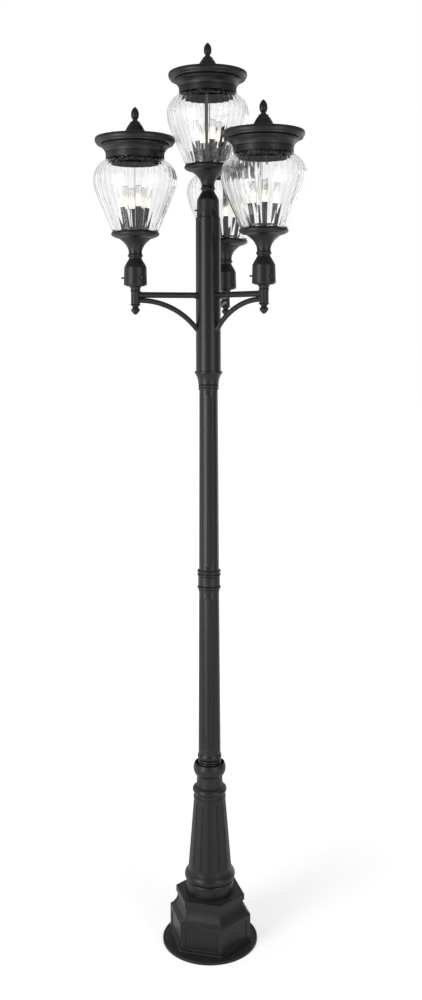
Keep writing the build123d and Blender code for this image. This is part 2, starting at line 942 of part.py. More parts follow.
def shifted(points, wall):
    """The same outline, moved inward by a wall along its normals."""
    moved = []
    for i, (r, z) in enumerate(points):
        r0, z0 = points[max(i - 1, 0)]
        r1, z1 = points[min(i + 1, len(points) - 1)]
        length = hypot(r1 - r0, z1 - z0)
        moved.append((r - wall * (z1 - z0) / length, z + wall * (r1 - r0) / length))
    return moved


for place, turn in lantern_turns.items():
    if place == "top":
        x, y, foot = 0, 0, column_top
    else:
        x, y = arm_axis(arm_angles[place])
        foot = arm_fitter_foot
    spin = vertical(x, y)
    section = radial_plane(x, y, foot)

    # Fitter: cup that sits over the tenon and necks in to the holder.
    with BuildPart() as fitter:
        ceiling = tenon_length + seat_gap
        with BuildSketch(section):
            with BuildLine():
                Polyline(
                    (tenon_radius + slip_gap, 0),
                    (fitter_foot_radius, 0),
                    (fitter_radius, 4),
                    (fitter_shoulder_radius, fitter_barrel_height),
                )
                Spline(
                    (fitter_shoulder_radius, fitter_barrel_height),
                    (fitter_shoulder_radius - 4, fitter_barrel_height + 9),
                    (fitter_neck_radius + 8, fitter_barrel_height + 22),
                    (fitter_neck_radius + 2, fitter_height - 6),
                )
                Polyline(
                    (fitter_neck_radius + 2, fitter_height - 6),
                    (fitter_neck_radius, fitter_height - 4),
                    (fitter_neck_radius, fitter_height),
                    (holder_bore_radius, fitter_height),
                    (holder_bore_radius, ceiling),
                    (tenon_radius + slip_gap, ceiling),
                    (tenon_radius + slip_gap, 0),
                )
            make_face()
        revolve(axis=spin)
        for k in range(screw_count):
            a = radians(screw_angle + 360 / screw_count * k)
            drill = Plane(origin=(x, y, foot + screw_height), x_dir=(0, 0, 1), z_dir=(cos(a), sin(a), 0))
            with BuildSketch(drill):
                Circle(screw_radius + thread_gap)
            extrude(amount=2 * fitter_radius, mode=Mode.SUBTRACT)
    save(fitter, f"fitter_{place}")

    # Set screws: three through the fitter's wall.
    with BuildPart() as set_screws:
        screw_tip = tenon_radius + 2 * slip_gap
        for k in range(screw_count):
            a = radians(screw_angle + 360 / screw_count * k)
            out = Vector(cos(a), sin(a), 0)
            tip = Plane(
                origin=Vector(x, y, foot + screw_height) + out * screw_tip,
                x_dir=(0, 0, 1),
                z_dir=out,
            )
            with BuildSketch(tip):
                Circle(screw_radius)
            extrude(amount=screw_shank)
            with BuildSketch(tip.offset(screw_shank)):
                Circle(screw_head_radius)
            extrude(amount=screw_head)
    save(set_screws, f"set_screws_{place}")

    # Glass holder: neck ring, bell and dished rim.
    with BuildPart() as holder:
        dish_foot = glass_foot - dish_lip_height
        with BuildSketch(section):
            with BuildLine():
                Polyline(
                    (holder_bore_radius, holder_foot),
                    (fitter_neck_radius, holder_foot),
                    (holder_ring_radius - 1, holder_foot + 5),
                    (holder_ring_radius, holder_foot + 7),
                    (holder_ring_radius, holder_foot + 10),
                    (holder_waist_radius + 1.5, holder_foot + 13),
                )
                Spline(
                    (holder_waist_radius + 1.5, holder_foot + 13),
                    (holder_waist_radius + 1, holder_foot + 28),
                    (holder_waist_radius + 6.4, holder_foot + 43),
                    (holder_waist_radius + 14, holder_foot + 55),
                    (holder_step_radius - 7.5, holder_foot + 67),
                    (holder_step_radius, holder_foot + 73),
                )
                Polyline(
                    (holder_step_radius, holder_foot + 73),
                    (holder_step_radius + 3, holder_foot + 76),
                    (dish_inner_step_radius, dish_foot - 3),
                    (dish_inner_step_radius + 2, dish_foot),
                )
                ThreePointArc(
                    (dish_inner_step_radius + 2, dish_foot),
                    (dish_radius, dish_foot + dish_lip_height * 0.45),
                    (dish_radius - 3, glass_foot - 1.5),
                )
                Polyline(
                    (dish_radius - 3, glass_foot - 1.5),
                    (dish_radius - 4.5, glass_foot),
                    (splice_radius, glass_foot),
                    (splice_radius, holder_foot + 75),
                    (splice_radius * 0.62, holder_foot + 59),
                    (splice_radius * 0.42, holder_foot + 38),
                    (splice_radius * 0.38, holder_foot + 16),
                    (holder_bore_radius, holder_foot + 12),
                    (holder_bore_radius, holder_foot),
                )
            make_face()
        revolve(axis=spin)
    save(holder, f"glass_holder_{place}")

    # Socket pan: stepped disc that the candles stand on.
    with BuildPart() as pan:
        with BuildSketch(section):
            with BuildLine():
                Polyline(
                    (rod_radius + thread_gap, glass_foot),
                    (pan_radius - 2, glass_foot),
                    (pan_radius, glass_foot + 2),
                    (pan_radius, glass_foot + pan_rim_height - 1),
                    (pan_radius - 1, glass_foot + pan_rim_height),
                    (pan_step_radius + 1, glass_foot + pan_rim_height),
                    (pan_step_radius, pan_top - 2),
                    (pan_step_radius - 2, pan_top),
                    (rod_radius + thread_gap, pan_top),
                    close=True,
                )
            make_face()
        revolve(axis=spin)
    save(pan, f"socket_pan_{place}")

    # Candles: a plain sleeve round each lamp socket.
    candle_spots = []
    for k in range(candle_count):
        a = radians(turn + 360 / candle_count * k)
        candle_spots.append((x + candle_circle_radius * cos(a), y + candle_circle_radius * sin(a)))
    sleeve_bore = candle_radius - candle_wall
    socket_top = pan_top + candle_height - socket_drop
    with BuildPart() as candles:
        with BuildSketch(Plane.XY.offset(foot + pan_top)):
            with Locations(*candle_spots):
                Circle(candle_radius)
                Circle(sleeve_bore, mode=Mode.SUBTRACT)
        extrude(amount=candle_height)
        with BuildSketch(Plane.XY.offset(foot + pan_top)):
            with Locations(*candle_spots):
                Circle(sleeve_bore - slip_gap)
        extrude(amount=candle_height - socket_drop)
        with BuildSketch(Plane.XY.offset(foot + socket_top)):
            with Locations(*candle_spots):
                Circle(socket_bore_radius)
        extrude(amount=-socket_bore_depth, mode=Mode.SUBTRACT)
    save(candles, f"candles_{place}")

    # Lamps: metal caps in the sockets, and clear envelopes on them.
    cap_foot = socket_top - socket_bore_depth + seat_gap
    cap_top = cap_foot + lamp_cap_length
    with BuildPart() as lamp_caps:
        for cx, cy in candle_spots:
            with BuildSketch(radial_plane(cx, cy, foot)):
                with BuildLine():
                    Polyline(
                        (0, cap_foot),
                        (lamp_cap_radius / 2, cap_foot),
                        (lamp_cap_radius / 2, cap_foot + 1.5),
                        (lamp_cap_radius, cap_foot + 4),
                        (lamp_cap_radius, cap_top),
                        (0, cap_top),
                        close=True,
                    )
                make_face()
            revolve(axis=vertical(cx, cy))
    save(lamp_caps, f"lamp_caps_{place}")

    with BuildPart() as lamps:
        lamp_top = cap_top + lamp_length
        lamp_shoulder = cap_top + lamp_length * 0.3
        lamp_dome = lamp_top - lamp_radius
        for cx, cy in candle_spots:
            with BuildSketch(radial_plane(cx, cy, foot)):
                with BuildLine():
                    Line((lamp_neck_radius - lamp_wall, cap_top), (lamp_neck_radius, cap_top))
                    Spline(
                        (lamp_neck_radius, cap_top),
                        (lamp_radius, lamp_shoulder),
                        (lamp_radius - 1.2, lamp_dome),
                        tangents=[(0, 1), (-0.06, 1)],
                    )
                    Spline(
                        (lamp_radius - 1.2, lamp_dome),
                        (0, lamp_top),
                        tangents=[(-0.06, 1), (-1, 0)],
                    )
                    Line((0, lamp_top), (0, lamp_top - lamp_wall))
                    Spline(
                        (0, lamp_top - lamp_wall),
                        (lamp_radius - 1.2 - lamp_wall, lamp_dome),
                        tangents=[(1, 0), (0.06, -1)],
                    )
                    Spline(
                        (lamp_radius - 1.2 - lamp_wall, lamp_dome),
                        (lamp_radius - lamp_wall, lamp_shoulder),
                        (lamp_neck_radius - lamp_wall, cap_top),
                        tangents=[(0.06, -1), (0, -1)],
                    )
                make_face()
            revolve(axis=vertical(cx, cy))
    save(lamps, f"lamps_{place}")

    # Centre rod: from the pan up into the finial, with a nut on the pan.
    with BuildPart() as rod:
        rod_foot = pan_top - rod_foot_depth
        with BuildSketch(Plane((x, y, foot + rod_foot))):
            Circle(rod_radius)
        extrude(amount=roof_top + rod_into_finial - rod_foot)
        with BuildSketch(Plane((x, y, foot + pan_top))):
            RegularPolygon(rod_nut_radius, hex_sides)
        extrude(amount=rod_nut_height)
    save(rod, f"centre_rod_{place}")

    # Glass shade: clear blown urn, open at both ends.
    with BuildPart() as glass:
        inner_outline = shifted(glass_outline, glass_wall)
        neck_foot_z = glass_height - glass_neck_height
        with BuildSketch(radial_plane(x, y, foot + glass_seat)):
            with BuildLine():
                outer = Spline(*glass_outline)
                Polyline(
                    outer @ 1,
                    (glass_neck_radius + 3, neck_foot_z),
                    (glass_neck_radius, neck_foot_z + 4),
                    (glass_neck_radius, glass_height),
                    (glass_neck_radius - glass_wall, glass_height),
                    (glass_neck_radius - glass_wall, neck_foot_z + 3),
                    (glass_neck_radius - 1, neck_foot_z - 4),
                    inner_outline[-1],
                )
                inner = Spline(*reversed([(r, max(z, 0)) for r, z in inner_outline]))
                Line(inner @ 1, outer @ 0)
            make_face()
        revolve(axis=spin)
    save(glass, f"glass_shade_{place}")

    # Roof: collar and inner ring round the glass neck, cavetto, broad brim and
    # hollow-sided cone.
    with BuildPart() as roof:
        skirt_top = skirt_foot + skirt_height
        brim_foot = skirt_foot + brim_rise
        brim_top = brim_foot + brim_height
        cone_foot = skirt_foot + cone_rise
        cone_waist = skirt_foot + cone_waist_rise
        cone_shoulder = skirt_foot + cone_shoulder_rise
        ledge = glass_top + seat_gap
        neck_ring_radius = glass_neck_radius - glass_wall - neck_ring_gap
        rod_hole = rod_radius + slip_gap
        with BuildSketch(section):
            with BuildLine():
                Polyline(
                    (collar_skirt_radius - roof_wall, skirt_foot),
                    (collar_skirt_radius, skirt_foot),
                    (collar_skirt_radius, skirt_top - 1),
                    (collar_skirt_radius - 2.5, skirt_top),
                    (collar_skirt_radius - 2.5, skirt_top + 2),
                    (collar_skirt_radius + 1, skirt_top + 3),
                )
                TangentArc(
                    (collar_skirt_radius + 1, skirt_top + 3),
                    (cavetto_radius, brim_foot - 12),
                    tangent=(0.25, 1),
                )
                Polyline(
                    (cavetto_radius, brim_foot - 12),
                    (cavetto_radius, brim_foot - 9),
                )
                ThreePointArc(
                    (cavetto_radius, brim_foot - 9),
                    (cavetto_radius + 4, brim_foot - 5),
                    (cavetto_radius, brim_foot - 1),
                )
                Polyline(
                    (cavetto_radius, brim_foot - 1),
                    (brim_radius - 7, brim_foot),
                    (brim_radius - 5, brim_foot + 5),
                )
                ThreePointArc(
                    (brim_radius - 5, brim_foot + 5),
                    (brim_radius, brim_foot + 12),
                    (brim_radius, brim_top - brim_edge),
                )
                ThreePointArc(
                    (brim_radius, brim_top - brim_edge),
                    (brim_radius - brim_edge * 0.3, brim_top - brim_edge * 0.3),
                    (brim_radius - brim_edge, brim_top),
                )
                Line((brim_radius - brim_edge, brim_top), (cone_foot_radius, cone_foot))
                Spline(
                    (cone_foot_radius, cone_foot),
                    (cone_foot_radius - 26, cone_foot + 3.5),
                    (cone_waist_radius, cone_waist),
                    (cone_waist_radius - 10, cone_waist + 11),
                    (cone_shoulder_radius, cone_shoulder),
                    (roof_top_radius + 1, roof_top - 5),
                    (roof_top_radius, roof_top - 1.5),
                )
                Polyline(
                    (roof_top_radius, roof_top - 1.5),
                    (roof_top_radius - 3, roof_top),
                    (rod_hole, roof_top),
                    (rod_hole, roof_top - 3 * roof_wall),
                    (cone_shoulder_radius - 2 * roof_wall, roof_top - 3 * roof_wall),
                    (cone_waist_radius - 2 * roof_wall, cone_waist),
                    (cone_foot_radius - 26, cone_foot + 3.5 - roof_wall),
                    (cone_foot_radius, cone_foot - roof_wall),
                    (brim_radius - 2 * roof_wall, brim_top - roof_wall - 1),
                    (brim_radius - roof_wall - 1, brim_top - 2 * roof_wall),
                    (brim_radius - roof_wall - 1, brim_foot + 2 * roof_wall + 3),
                    (brim_radius - 3 * roof_wall, brim_foot + roof_wall + 1),
                    (cavetto_radius - roof_wall - 2, brim_foot + roof_wall),
                    (cavetto_radius - roof_wall - 2, brim_foot - 3 * roof_wall),
                    (neck_ring_radius - neck_ring_wall, ledge + roof_wall),
                    (neck_ring_radius - neck_ring_wall, ledge - neck_ring_depth),
                    (neck_ring_radius, ledge - neck_ring_depth),
                    (neck_ring_radius, ledge),
                    (collar_skirt_radius - roof_wall, ledge),
                    (collar_skirt_radius - roof_wall, skirt_foot),
                )
            make_face()
        revolve(axis=spin)
    save(roof, f"roof_{place}")

    # Acorn finial: cap nut on the rod.
    with BuildPart() as acorn:
        acorn_foot = roof_top + seat_gap
        acorn_neck = acorn_foot + acorn_neck_height
        acorn_top = acorn_foot + acorn_height
        thread_top = roof_top + rod_into_finial + 1
        with BuildSketch(section):
            with BuildLine():
                Polyline(
                    (rod_radius + thread_gap, acorn_foot),
                    (acorn_foot_radius, acorn_foot),
                    (acorn_foot_radius, acorn_foot + 3),
                    (acorn_neck_radius, acorn_foot + 5),
                    (acorn_neck_radius, acorn_neck),
                )
                Spline(
                    (acorn_neck_radius, acorn_neck),
                    (acorn_radius - 0.8, acorn_neck + 9),
                    (acorn_radius, acorn_neck + 18),
                    (acorn_radius - 2.3, acorn_top - 17),
                    (acorn_radius - 6.5, acorn_top - 9),
                    (4, acorn_top - 2.5),
                )
                Polyline(
                    (4, acorn_top - 2.5),
                    (0, acorn_top),
                    (0, thread_top),
                    (rod_radius + thread_gap, thread_top),
                    (rod_radius + thread_gap, acorn_foot),
                )
            make_face()
        revolve(axis=spin)
    save(acorn, f"acorn_finial_{place}")
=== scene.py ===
from math import atan2, cos, pi, radians, sin, tau

import bpy
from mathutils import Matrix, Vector


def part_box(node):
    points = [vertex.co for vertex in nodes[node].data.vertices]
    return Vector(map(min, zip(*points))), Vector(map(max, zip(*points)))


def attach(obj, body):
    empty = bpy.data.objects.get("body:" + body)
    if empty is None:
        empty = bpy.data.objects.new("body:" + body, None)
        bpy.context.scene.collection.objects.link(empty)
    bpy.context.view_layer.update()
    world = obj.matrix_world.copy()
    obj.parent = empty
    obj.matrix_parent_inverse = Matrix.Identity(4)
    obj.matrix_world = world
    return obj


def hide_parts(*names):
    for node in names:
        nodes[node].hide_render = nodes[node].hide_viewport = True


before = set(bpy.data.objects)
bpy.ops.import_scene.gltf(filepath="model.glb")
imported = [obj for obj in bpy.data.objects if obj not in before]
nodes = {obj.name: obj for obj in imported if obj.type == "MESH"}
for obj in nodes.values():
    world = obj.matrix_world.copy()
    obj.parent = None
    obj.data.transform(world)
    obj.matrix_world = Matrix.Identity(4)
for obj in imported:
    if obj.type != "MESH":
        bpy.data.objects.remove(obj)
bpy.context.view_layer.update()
bpy.ops.object.select_all(action="DESELECT")
lanterns = ("top", "left", "right", "back")


# Base plate and pedestal
# Sand-cast iron, ground where it stands and powder coated black. The coat keeps a faint
# cast grain under it, and a little dust settles on what faces up.
class Wire:
    """A number or colour on its way through a material, which Python's operators can join."""

    def __init__(self, finish, socket):
        self.finish = finish
        self.socket = socket

    def math(self, operation, first, second):
        return self.finish.node("Math", {"operation": operation}, {0: first, 1: second})

    def __add__(self, other):
        return self.math("ADD", self, other)

    def __sub__(self, other):
        return self.math("SUBTRACT", self, other)

    def __rsub__(self, other):
        return self.math("SUBTRACT", other, self)

    def __mul__(self, other):
        return self.math("MULTIPLY", self, other)

    def __pow__(self, other):
        return self.math("POWER", self, other)

    __radd__ = __add__
    __rmul__ = __mul__


class Finish:
    """A node material under construction: a Principled shader and what feeds it."""

    def __init__(self, name):
        self.material = bpy.data.materials.new(name)
        self.start(self.material, "OutputMaterial")
        self.shader = self.tree.nodes.new("ShaderNodeBsdfPrincipled")
        self.join(self.shader.outputs[0], self.output.inputs["Surface"])
        self.place = self.node("TexCoord", out="Object")

    def start(self, holder, output):
        """Gives a material, or the world, an empty node tree with its output."""
        holder.use_nodes = True
        self.tree = holder.node_tree
        self.tree.nodes.clear()
        self.output = self.tree.nodes.new("ShaderNode" + output)

    def join(self, source, target):
        self.tree.links.new(source, target)

    def feed(self, target, value):
        if isinstance(value, Wire):
            self.join(value.socket, target)
        elif isinstance(value, tuple) and len(value) == 3 and target.type == "RGBA":
            target.default_value = (*value, 1)
        else:
            target.default_value = value

    def node(self, kind, settings=None, sockets=None, out=0):
        made = self.tree.nodes.new("ShaderNode" + kind)
        for key, value in (settings or {}).items():
            setattr(made, key, value)
        for key, value in (sockets or {}).items():
            self.feed(made.inputs[key], value)
        return Wire(self, made.outputs[out])

    def blend(self, share, low, high):
        settings = {"data_type": "RGBA"}
        return self.node("Mix", settings, {"Factor": share, 6: low, 7: high}, out=2)

    def noise(self, per_metre, detail=2, stretch=(1, 1, 1), roughness=0.5):
        spread = self.node("Mapping", sockets={"Vector": self.place, "Scale": stretch})
        sockets = {"Vector": spread, "Scale": per_metre, "Detail": detail, "Roughness": roughness}
        return self.node("TexNoise", sockets=sockets)

    def upward(self):
        normal = self.node("NewGeometry", out="Normal")
        return self.node("SeparateXYZ", sockets={0: normal}, out=2)

    def set(self, **sockets):
        for key, value in sockets.items():
            label = key.replace("_", " ").title().replace("Ior", "IOR")
            self.feed(self.shader.inputs[label], value)

    def bump(self, height, depth):
        self.set(normal=self.node("Bump", sockets={"Height": height, "Distance": depth}))


coat_index = 1.42


def black_coat(name, grain_depth, grain_per_metre, gloss):
    """Satin black powder coat over a casting or a tube."""
    coat = Finish(name)
    patches = coat.noise(5, detail=3)
    fine = coat.noise(60, detail=3)
    dust = (coat.upward() - 0.55) * 1.6 * fine
    fresh = coat.blend(patches, (0.007, 0.007, 0.0075), (0.014, 0.014, 0.0146))
    share = coat.node("Clamp", sockets={0: dust})
    coat.set(base_color=coat.blend(share * 0.5, fresh, (0.1, 0.097, 0.091)))
    coat.set(roughness=gloss + 0.1 * fine + 0.12 * share, ior=coat_index)
    peel = coat.noise(1400, detail=1)
    grain = coat.noise(grain_per_metre, detail=3, roughness=0.6)
    coat.bump(peel * 0.25 + grain, grain_depth)
    return coat.material


def wear(material, *names):
    """Gives CAD nodes a finish in place of the plain one that they come with."""
    for name in names:
        slots = nodes[name].data.materials
        slots.clear()
        slots.append(material)


cast_coat = black_coat("black_coat_on_iron", 0.00022, 320, 0.36)
wear(cast_coat, "base_plate", "hex_pedestal")

# Tapered shaft, collar, coupler and cup
# The shaft, the socket collar, the coupler's rings and the cup under the column are
# castings too, turned smooth before coating, so their grain is finer.
turned_coat = black_coat("black_coat_on_turned_casting", 0.00012, 420, 0.33)
wear(turned_coat, "tapered_shaft", "socket_collar", "pole_coupler", "top_cup", "column_cap")

# Fluted poles
# Rolled aluminium tube, fluted by drawing it through a die, then powder coated. The draw
# leaves faint lines along the tube. Sleeves inside join them at the coupler and the cup.
def tube_coat(name):
    coat = Finish(name)
    patches = coat.noise(4, detail=3)
    drawn = coat.noise(26, detail=2, stretch=(14, 14, 0.35))
    coat.set(base_color=coat.blend(patches, (0.005, 0.005, 0.0054), (0.011, 0.011, 0.0116)))
    coat.set(roughness=0.29 + 0.1 * drawn, ior=coat_index)
    peel = coat.noise(1400, detail=1)
    coat.bump(peel * 0.3 + drawn, 0.00008)
    return coat.material


drawn_coat = tube_coat("black_coat_on_tube")
wear(drawn_coat, "lower_pole", "upper_pole", "pole_sleeves")

# Arm column
# Plain aluminium tube of four inches outside, from the same coating line as the poles.
wear(drawn_coat, "arm_column")

# Arms, tenons and drops
# Each arm is one casting with its brace and ribbed stem. The tenon above it and the drop
# below it screw into the stem.
wear(cast_coat, "arm_back", "arm_left", "arm_right")
wear(turned_coat, "arm_tenons", "drop_finials")


# Lantern castings
# Fitter, glass holder, socket pan, roof and finial are die castings, smoother than the
# base, with the same coat.
die_coat = black_coat("black_coat_on_die_casting", 0.0001, 520, 0.34)
for place in lanterns:
    wear(die_coat, f"fitter_{place}", f"glass_holder_{place}", f"socket_pan_{place}")
    wear(die_coat, f"roof_{place}", f"acorn_finial_{place}")

# Set screws
# Three blackened steel screws in each fitter hold the lantern on its tenon.
screw_black = Finish("blackened_screw")
screw_spots = screw_black.noise(900, detail=3)
screw_colour = screw_black.blend(screw_spots, (0.03, 0.03, 0.032), (0.09, 0.088, 0.085))
screw_black.set(base_color=screw_colour, metallic=0.85, roughness=0.32 + 0.2 * screw_spots)
screw_black.bump(screw_black.noise(1600), 0.00005)
for place in lanterns:
    wear(screw_black.material, f"set_screws_{place}")

# Centre rods
# Threaded steel rod from the pan to the finial. Its thread is too fine to model, and fine
# rings in the finish stand in for it.
thread_pitch = 0.001
rod_steel = Finish("threaded_rod_steel")
height = rod_steel.node("SeparateXYZ", sockets={0: rod_steel.place}, out=2)
thread = rod_steel.node("Math", {"operation": "SINE"}, {0: height * (tau / thread_pitch)})
rod_dirt = rod_steel.noise(220, detail=3)
rod_steel.set(base_color=rod_steel.blend(rod_dirt, (0.07, 0.07, 0.07), (0.2, 0.196, 0.19)))
rod_steel.set(metallic=0.8, roughness=0.4 + 0.2 * rod_dirt)
rod_steel.bump(thread, 0.0003)
for place in lanterns:
    wear(rod_steel.material, f"centre_rod_{place}")

# Candles
# Matt black sleeves over the lamp sockets.
sleeve_black = Finish("candle_sleeve")
scuffs = sleeve_black.noise(70, detail=4, stretch=(1, 1, 0.3))
sleeve_black.set(base_color=sleeve_black.blend(scuffs, (0.008, 0.008, 0.0085), (0.02, 0.02, 0.021)))
sleeve_black.set(roughness=0.5 + 0.2 * scuffs, ior=1.4)
sleeve_black.bump(sleeve_black.noise(800, detail=2), 0.00006)
for place in lanterns:
    wear(sleeve_black.material, f"candles_{place}")

# Lamps
# Clear candelabra lamps, lit. Each has a brass cap in its socket, a thin glass envelope
# and a glowing loop of filament on two leads.
cap_metal = Finish("lamp_cap_metal")
cap_marks = cap_metal.noise(400, detail=3)
cap_metal.set(base_color=cap_metal.blend(cap_marks, (0.45, 0.36, 0.2), (0.7, 0.6, 0.4)))
cap_metal.set(metallic=1.0, roughness=0.25 + 0.2 * cap_marks)
cap_metal.bump(cap_metal.noise(1500), 0.00003)

lamp_low, lamp_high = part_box("lamps_top")
lamp_length = lamp_high.z - lamp_low.z
glow_foot = 0.1 * lamp_length
glow_end = 0.75 * lamp_length


def lamp_glass(place):
    """Clear glass, with the light's glow strongest round the filament, and painted shade that
    darkens its rim where it is seen edge-on.
    """
    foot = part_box(f"lamps_{place}")[0].z
    glass = Finish(f"lamp_glass_{place}")
    rise = glass.node("SeparateXYZ", sockets={0: glass.place}, out=2)
    span = {"Value": rise, "From Min": foot + glow_foot, "From Max": foot + glow_end}
    share = glass.node("MapRange", {"interpolation_type": "SMOOTHSTEP"}, span)
    haze = glass.noise(90, detail=2)
    # Painted shade: the base colour turns dark grey where the glass is seen edge-on.
    painted_rim_shade = glass.node("LayerWeight", sockets={"Blend": 0.5}, out="Facing") ** 1.7
    glow = glass.blend(share, (1.0, 0.86, 0.64), (0.0, 0.0, 0.0))
    glass.set(base_color=glass.blend(painted_rim_shade, (0.93, 0.92, 0.9), (0.22, 0.21, 0.2)))
    glass.set(transmission_weight=1.0, ior=1.3, roughness=0.02 + 0.03 * haze)
    glass.set(emission_color=glow, emission_strength=0.22)
    return glass.material


filament_metal = Finish("filament_glow")
flicker = filament_metal.noise(300)
filament_metal.set(base_color=(0.9, 0.6, 0.3), roughness=0.4)
filament_colour = filament_metal.blend(flicker, (1.0, 0.78, 0.48), (1.0, 0.88, 0.66))
filament_metal.set(emission_color=filament_colour, emission_strength=1.6)

arch_radius = 0.0055
wire_radius = 0.0007
lead_length = 0.3 * lamp_length
arch_rise = 0.47 * lamp_length
candle_count = 4
candle_circle = 0.048
lantern_turns = {"back": 20, "left": 39.3, "right": 15.3, "top": 32.3}


def deselect():
    for shown in bpy.context.selected_objects:
        shown.select_set(False)


def settle(piece, name):
    """Puts a finished piece's place into its mesh, with its object at the origin."""
    piece.name = name
    deselect()
    piece.select_set(True)
    bpy.context.view_layer.objects.active = piece
    bpy.ops.object.transform_apply(location=True, rotation=True, scale=True)
    return piece


def lantern_centre(place):
    low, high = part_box(f"glass_shade_{place}")
    return (low + high) / 2


def copied(piece, name, offset):
    """A copy of a finished piece with its own mesh, moved by an offset."""
    twin = piece.copy()
    twin.data = piece.data.copy()
    bpy.context.scene.collection.objects.link(twin)
    twin.location = offset
    return settle(twin, name)


# One arch of wire, standing on its two leads at the middle of the scene.
bpy.ops.mesh.primitive_torus_add(
    major_radius=arch_radius,
    minor_radius=wire_radius,
    major_segments=24,
    minor_segments=8,
    rotation=(pi / 2, 0, 0),
)
arch = settle(bpy.context.object, "filament")
bpy.ops.object.mode_set(mode="EDIT")
bpy.ops.mesh.select_all(action="SELECT")
bpy.ops.mesh.bisect(plane_co=(0, 0, 0), plane_no=(0, 0, 1), clear_inner=True)
bpy.ops.mesh.extrude_region_move(TRANSFORM_OT_translate={"value": (0, 0, -lead_length)})
bpy.ops.object.mode_set(mode="OBJECT")
arch.data.materials.append(filament_metal.material)

for place in lanterns:
    wear(lamp_glass(place), f"lamps_{place}")
    wear(cap_metal.material, f"lamp_caps_{place}")
    middle = lantern_centre(place)
    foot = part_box(f"lamps_{place}")[0].z
    arches = []
    for k in range(candle_count):
        turn = radians(lantern_turns[place] + 90 * k)
        across = Vector((candle_circle * cos(turn), candle_circle * sin(turn), 0))
        standing = Vector((middle.x, middle.y, foot + arch_rise)) + across
        arches.append(copied(arch, f"filament_{place}_{k}", standing))
    deselect()
    for each in arches:
        each.select_set(True)
    bpy.context.view_layer.objects.active = arches[0]
    bpy.ops.object.join()
    filaments = settle(arches[0], f"filaments_{place}")
    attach(filaments, f"lamp_set_{place}")
bpy.data.objects.remove(arch)

# Glass shades
# Clear glass blown into a ribbed mould: an urn open at both ends, with shallow ribs that
# run from foot to neck and bend what shows through it.
rib_count = 40
steps_per_rib = 4
rib_depth = 0.002
rib_foot = 0.003
rib_end = 0.29
shade_wall = 0.004


def clear_glass(place):
    """Clear glass, with painted shade: grey painted into the valleys between the ribs and onto its
    rim where it is seen edge-on.
    """
    middle = lantern_centre(place)
    glass = Finish(f"clear_ribbed_glass_{place}")
    ripple = glass.noise(16, detail=2, stretch=(1, 1, 0.45))
    ends = {0: glass.place, 1: tuple(middle)}
    from_axis = glass.node("VectorMath", {"operation": "SUBTRACT"}, ends)
    across = glass.node("SeparateXYZ", sockets={0: from_axis}, out=0)
    along = glass.node("SeparateXYZ", sockets={0: from_axis}, out=1)
    turn = across.math("ARCTAN2", along, across)
    # Painted shade: grey in the rib valleys and towards the edge-on rim, put into the base colour.
    painted_valley_shade = (glass.node("Math", {"operation": "COSINE"}, {0: turn * rib_count}) * 0.5 + 0.5) ** 5
    painted_rim_shade = glass.node("LayerWeight", sockets={"Blend": 0.5}, out="Facing")
    painted_glass_shade = painted_valley_shade * (0.08 + 0.5 * painted_rim_shade) + 0.25 * painted_rim_shade**4
    glass.set(base_color=glass.blend(painted_glass_shade, (0.96, 0.965, 0.965), (0.3, 0.31, 0.31)))
    glass.set(transmission_weight=1.0, ior=1.36, roughness=0.004 + 0.012 * ripple)
    glass.bump(ripple, 0.0012)
    return glass.material


shade_outline = [
    (0.0912, 0.0), (0.0965, 0.012), (0.1035, 0.0275), (0.112, 0.047), (0.124, 0.075),
    (0.1365, 0.103), (0.1480, 0.130), (0.1577, 0.155), (0.1653, 0.180), (0.1695, 0.203),
    (0.1677, 0.226), (0.1600, 0.248), (0.1490, 0.264), (0.1350, 0.277), (0.122, 0.2855),
    (0.1135, 0.2890), (0.1102, 0.2940), (0.1100, 0.3030), (0.1100, 0.3130),
]


def blow_shade(place):
    """Draws the urn up ring by ring, gives it a wall, then presses the ribs in from outside."""
    low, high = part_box(f"glass_shade_{place}")
    middle = (low + high) / 2
    start_radius, start_height = shade_outline[0]
    bpy.ops.mesh.primitive_circle_add(
        vertices=steps_per_rib * rib_count,
        radius=start_radius,
        location=(middle.x, middle.y, low.z),
    )
    shade = settle(bpy.context.object, f"ribbed_shade_{place}")
    bpy.ops.object.mode_set(mode="EDIT")
    bpy.ops.mesh.select_all(action="SELECT")
    radius, height = start_radius, start_height
    for next_radius, next_height in shade_outline[1:]:
        rise = {"value": (0, 0, next_height - height)}
        bpy.ops.mesh.extrude_region_move(TRANSFORM_OT_translate=rise)
        scale = next_radius / radius
        pivot = (middle.x, middle.y, low.z + next_height)
        bpy.ops.transform.resize(value=(scale, scale, 1), center_override=pivot)
        radius, height = next_radius, next_height
    bpy.ops.mesh.select_all(action="SELECT")
    bpy.ops.mesh.normals_make_consistent(inside=False)
    bpy.ops.mesh.select_all(action="DESELECT")
    bpy.ops.object.mode_set(mode="OBJECT")
    outer_count = len(shade.data.vertices)
    wall = shade.modifiers.new("wall", "SOLIDIFY")
    wall.thickness = shade_wall
    wall.offset = -1
    bpy.ops.object.modifier_apply(modifier="wall")
    for vertex in shade.data.vertices:
        angle = atan2(vertex.co.y - middle.y, vertex.co.x - middle.x)
        step = round(angle / tau * steps_per_rib * rib_count)
        in_valley = vertex.index < outer_count and step % steps_per_rib == 0
        vertex.select = in_valley and rib_foot < vertex.co.z - low.z < rib_end
    bpy.ops.object.mode_set(mode="EDIT")
    bpy.ops.mesh.select_mode(type="VERT")
    bpy.ops.transform.shrink_fatten(value=-rib_depth)
    bpy.ops.object.mode_set(mode="OBJECT")
    smooth = shade.modifiers.new("smooth", "SUBSURF")
    smooth.levels = smooth.render_levels = 1
    bpy.ops.object.modifier_apply(modifier="smooth")
    bpy.ops.object.shade_smooth()
    return shade


